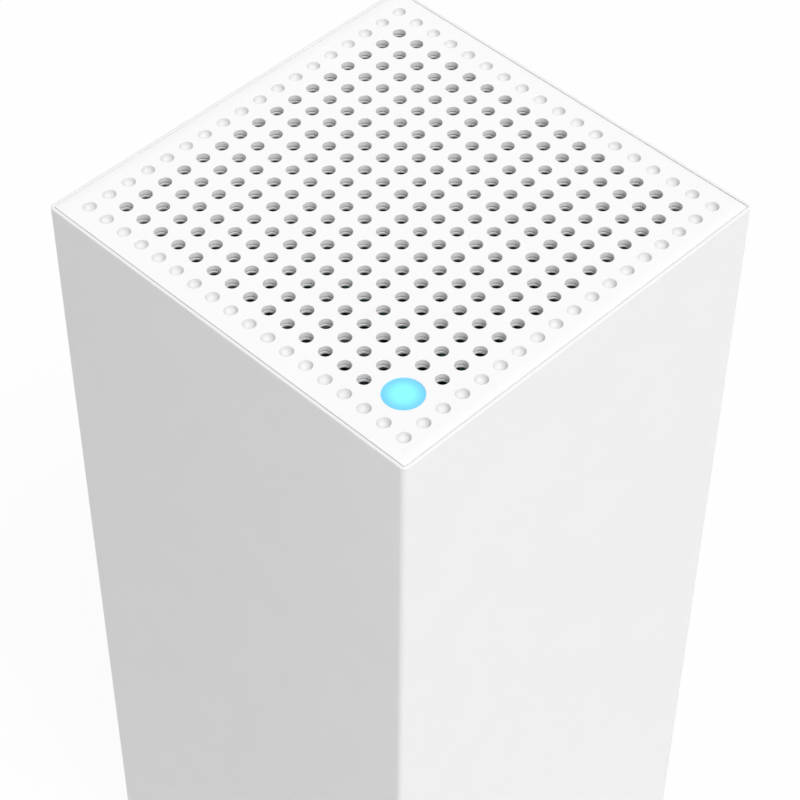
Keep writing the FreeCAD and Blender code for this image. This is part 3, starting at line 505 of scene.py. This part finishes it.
def cut_notch(bm):
    """Opens the cable notch through the rear wall, and closes the wall's thickness round it."""
    for place, normal in (((notch_half, 0, 0), (1, 0, 0)), ((-notch_half, 0, 0), (1, 0, 0)),
                          ((0, 0, notch_top), (0, 0, 1))):
        rear = [f for f in bm.faces if f.calc_center_median().y > inner_half - mm]
        around = set(rear)
        around.update(e for f in rear for e in f.edges)
        around.update(v for f in rear for v in f.verts)
        bmesh.ops.bisect_plane(bm, geom=list(around), plane_co=place, plane_no=normal,
                               dist=same_place)
    inside = []
    for face in bm.faces:
        middle = face.calc_center_median()
        if middle.y > inner_half - mm and abs(middle.x) < notch_half and middle.z < notch_top:
            inside.append(face)
    bmesh.ops.delete(bm, geom=inside, context="FACES")
    open_edges = [e for e in bm.edges if len(e.link_faces) == 1]
    outer = [e for e in open_edges if min(v.co.y for v in e.verts) > tower_half - notch_margin]
    inner = [e for e in open_edges if max(v.co.y for v in e.verts) < inner_half + notch_margin]
    bmesh.ops.bridge_loops(bm, edges=outer + inner)
    bmesh.ops.recalc_face_normals(bm, faces=bm.faces)


cut_notch(sleeve)
white_shell = moulded("white_shell", (0.87, 0.87, 0.87), 0.42, grain_depth=0.003 * mm, change=0.006)
finished(sleeve, "white_sleeve", white_shell, "tower", "sleeve_white", "outer_sleeve")


# ---- The cover and its liner ----
# A flat white plate, let into the lip, with a square pattern of round holes. The outermost
# ring is only dimpled. A thin liner with the same holes is welded under it, and a fine groove
# shows between the two inside each hole.

hole_radius = 2.25 * mm / 2
hole_steps = 16
light_gap = 0.08 * mm
cover_low, cover_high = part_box("top_cover")
liner_low, liner_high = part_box("vent_liner")
cover_half = recess_half - groove_width
first_hole = -tower_half + hole_margin
pattern_half = -first_hole + hole_pitch / 2
hole_round = 0.06 * mm
hole_flare = 0.3 * mm
cover_round = 0.12 * mm
dimple_depth = 1.0 * mm
dimple_turns = (30, 55, 78)
light_flare = 0.1 * mm
liner_flare = 0.05 * mm


def ring_down(bm, edges, radius, height):
    """Carries a ring of edges on to another radius and height."""
    fresh = bmesh.ops.extrude_edge_only(bm, edges=edges)["geom"]
    for vert in (g for g in fresh if isinstance(g, bmesh.types.BMVert)):
        flat = vert.co.xy.normalized() * radius
        vert.co = (flat.x, flat.y, height)
    return [g for g in fresh if isinstance(g, bmesh.types.BMEdge)]


def onto_square(points, half, height):
    """Moves a ring's points out onto a square. They end evenly spaced, so that tiles meet."""
    for vert in points:
        turn = math.atan2(vert.co.y, vert.co.x)
        side = round(turn / (math.pi / 2))
        along = (turn - side * math.pi / 2) / (math.pi / 4)
        flat = Matrix.Rotation(side * math.pi / 2, 2) @ Vector((half, along * half))
        vert.co = (flat.x, flat.y, height)


def widened(bm, edges, half, height):
    """Carries a round ring of edges on to the square round it."""
    fresh = bmesh.ops.extrude_edge_only(bm, edges=edges)["geom"]
    onto_square([g for g in fresh if isinstance(g, bmesh.types.BMVert)], half, height)


def hole_tile(half, radius, steps, thickness, flare, blind=False):
    """One square of the plate with its hole or dimple in the middle, its top at height 0."""
    bm = bmesh.new()
    bmesh.ops.create_circle(bm, segments=steps, radius=radius + hole_round)
    rim = list(bm.edges)
    widened(bm, rim, half, 0)
    ring = ring_down(bm, rim, radius, -hole_round)
    if blind:
        for turn in (math.radians(degrees) for degrees in dimple_turns):
            ring = ring_down(bm, ring, radius * math.cos(turn), -dimple_depth * math.sin(turn))
        bmesh.ops.contextual_create(bm, geom=ring)
        # Faces down in the bowl take the plate's second material, whose darker grey is painted shade.
        for face in bm.faces:
            face.material_index = int(face.calc_center_median().z < -hole_round)
        floor_ring = bmesh.ops.create_circle(bm, cap_ends=True, segments=steps, radius=half)
        onto_square(floor_ring["verts"], half, -thickness)
    else:
        ring = ring_down(bm, ring, radius, -thickness + flare)
        ring = ring_down(bm, ring, radius + flare, -thickness)
        widened(bm, ring, half, -thickness)
    mesh = bpy.data.meshes.new("tile")
    bm.to_mesh(mesh)
    bm.free()
    return mesh


def vent_plate(top, thickness, flare, dimpled):
    """The plate without its margin: a tile for each hole, and one wide tile for the light."""
    through = hole_tile(hole_pitch / 2, hole_radius, hole_steps, thickness, flare)
    blind = hole_tile(hole_pitch / 2, hole_radius, hole_steps, thickness, 0, blind=True)
    wide = hole_tile(hole_pitch, light_radius + light_gap, 2 * hole_steps, thickness, light_flare)
    plate = bmesh.new()

    def lay(mesh, x, y):
        already = set(plate.verts)
        plate.from_mesh(mesh)
        fresh = [v for v in plate.verts if v not in already]
        bmesh.ops.translate(plate, verts=fresh, vec=(x, y, top))

    last = holes_per_side - 1
    for column in range(holes_per_side):
        for row in range(holes_per_side):
            x = first_hole + column * hole_pitch
            y = first_hole + row * hole_pitch
            if max(abs(x - light_x), abs(y - light_y)) < hole_pitch:
                continue
            outermost = column in (0, last) or row in (0, last)
            if outermost and not dimpled:
                continue
            lay(blind if outermost else through, x, y)
    lay(wide, light_x, light_y)
    for mesh in (through, blind, wide):
        bpy.data.meshes.remove(mesh)
    bmesh.ops.remove_doubles(plate, verts=plate.verts, dist=same_place)
    return plate


def add_margin(plate, thickness, edge):
    """Carries the plate's upper and lower faces out to its rim, and rounds the upper edge."""
    outer = [e for e in plate.edges if len(e.link_faces) == 1
             and all(max(abs(v.co.x), abs(v.co.y)) > edge - near for v in e.verts)]
    top = max(v.co.z for v in plate.verts)
    upper = [e for e in outer if min(v.co.z for v in e.verts) > top - near]
    steps = [(cover_half - cover_round, top)]
    for i in range(1, 4):
        turn = math.pi / 6 * i
        steps.append((cover_half - cover_round * (1 - math.sin(turn)),
                      top - cover_round * (1 - math.cos(turn))))
    steps.append((cover_half, top - thickness))
    steps.append((edge, top - thickness))
    inner = edge
    ring = upper
    for half, height in steps:
        fresh = bmesh.ops.extrude_edge_only(plate, edges=ring)["geom"]
        for vert in (g for g in fresh if isinstance(g, bmesh.types.BMVert)):
            for axis in (0, 1):
                if abs(vert.co[axis]) > inner - near:
                    vert.co[axis] = math.copysign(half, vert.co[axis])
            vert.co.z = height
        ring = [g for g in fresh if isinstance(g, bmesh.types.BMEdge)]
        inner = half
    bmesh.ops.remove_doubles(plate, verts=plate.verts, dist=same_place)
    bmesh.ops.recalc_face_normals(plate, faces=plate.faces)


cover = vent_plate(cover_high[2], cover_high[2] - cover_low[2], hole_flare, True)
add_margin(cover, cover_high[2] - cover_low[2], pattern_half)
white_cover = moulded("white_cover", (0.94, 0.94, 0.94), 0.4, grain_depth=0.002 * mm, change=0.005)
vent_cover = finished(cover, "vent_cover", white_cover, "tower", "cover_white", "top_cover")
# The bowls' second material is rougher and matt, and its darker grey is painted shade: the shade down in
# each dimple.
vent_cover.data.materials.append(moulded("bowl_matt_painted_shade", (0.72, 0.72, 0.725), 0.65))

liner = vent_plate(liner_high[2], liner_high[2] - liner_low[2], liner_flare, False)
add_margin(liner, liner_high[2] - liner_low[2], pattern_half - hole_pitch)
white_liner = moulded("white_liner", (0.74, 0.74, 0.74), 0.5)
finished(liner, "vent_liner_plate", white_liner, "tower", "liner_white", "vent_liner")


# ---- The studio ----
# A white floor and white surroundings, one broad lamp high on the right, and an even fill.
# What the camera sees directly behind the tower is plain white, with the floor's shadow on it.

def white_to_the_eye(nodes, links):
    """1 for rays straight from the camera, and for what shines or shows through."""
    path = nodes.new("ShaderNodeLightPath")
    total = path.outputs["Is Camera Ray"]
    for other in ("Is Glossy Ray", "Is Transmission Ray"):
        either = nodes.new("ShaderNodeMath")
        either.operation = "MAXIMUM"
        links.new(total, either.inputs[0])
        links.new(path.outputs[other], either.inputs[1])
        total = either.outputs["Value"]
    return total


fill_strength = 0.355
lamp_strength = 2.387
floor_shadow_share = 0.05
floor_reach = 4.0
lamp_spread = math.radians(20)

world = bpy.data.worlds.new("surroundings")
bpy.context.scene.world = world
world.use_nodes = True
nodes = world.node_tree.nodes
links = world.node_tree.links
fill = nodes["Background"]
fill.inputs["Color"].default_value = (1, 1, 1, 1)
fill.inputs["Strength"].default_value = fill_strength
backdrop = nodes.new("ShaderNodeBackground")
backdrop.inputs["Color"].default_value = (1, 1, 1, 1)
choose = nodes.new("ShaderNodeMixShader")
links.new(white_to_the_eye(nodes, links), choose.inputs["Fac"])
links.new(fill.outputs["Background"], choose.inputs[1])
links.new(backdrop.outputs["Background"], choose.inputs[2])
links.new(choose.outputs["Shader"], nodes["World Output"].inputs["Surface"])

ground = bmesh.new()
bmesh.ops.create_grid(ground, x_segments=1, y_segments=1, size=floor_reach)
bmesh.ops.translate(ground, verts=ground.verts, vec=(0, 0, cad_box[0][2]))
floor_mesh = bpy.data.meshes.new("floor")
ground.to_mesh(floor_mesh)
ground.free()
floor = bpy.data.objects.new("floor", floor_mesh)
bpy.context.collection.objects.link(floor)

floor_paint, nodes, links, shader = new_material("floor_paint")
shader.inputs["Base Color"].default_value = (0.8, 0.8, 0.8, 1)
shader.inputs["Roughness"].default_value = 0.9
glow = nodes.new("ShaderNodeEmission")
glow.inputs["Color"].default_value = (1, 1, 1, 1)
share = nodes.new("ShaderNodeMath")
share.operation = "MULTIPLY"
share.inputs[1].default_value = 1 - floor_shadow_share
choose = nodes.new("ShaderNodeMixShader")
links.new(white_to_the_eye(nodes, links), share.inputs[0])
links.new(share.outputs["Value"], choose.inputs["Fac"])
links.new(shader.outputs["BSDF"], choose.inputs[1])
links.new(glow.outputs["Emission"], choose.inputs[2])
links.new(choose.outputs["Shader"], nodes["Material Output"].inputs["Surface"])
floor_mesh.materials.append(floor_paint)

lamp_direction = Vector((0.486, -0.069, 0.871)).normalized()
lamp = bpy.data.lights.new("key_lamp", "SUN")
lamp.energy = lamp_strength
lamp.angle = lamp_spread
lamp_object = bpy.data.objects.new("key_lamp", lamp)
bpy.context.collection.objects.link(lamp_object)
lamp_object.matrix_world = (Matrix.Translation(lamp_direction)
                            @ lamp_direction.to_track_quat("Z", "Y").to_matrix().to_4x4())

# The camera looks down at the tower's lit corner.
view_azimuth = math.radians(44.20)
view_elevation = math.radians(47.00)
view_roll = math.radians(0.53)
view_distance = 0.3649
aim_inset_x = 10.15 * mm
aim_inset_y = 9.45 * mm
aim = Vector((tower_half - aim_inset_x, -tower_half + aim_inset_y, tower_top))

away = Vector((math.sin(view_azimuth) * math.cos(view_elevation),
               -math.cos(view_azimuth) * math.cos(view_elevation),
               math.sin(view_elevation)))
camera = bpy.data.cameras.new("camera")
camera.lens = 112.15
camera.sensor_width = 36.0
camera_object = bpy.data.objects.new("camera", camera)
bpy.context.collection.objects.link(camera_object)
camera_object.matrix_world = (
    Matrix.Translation(aim + away * view_distance)
    @ away.to_track_quat("Z", "Y").to_matrix().to_4x4()
    @ Matrix.Rotation(view_roll, 4, "Z"))
bpy.context.scene.camera = camera_object
bpy.context.scene.view_settings.view_transform = "Standard"
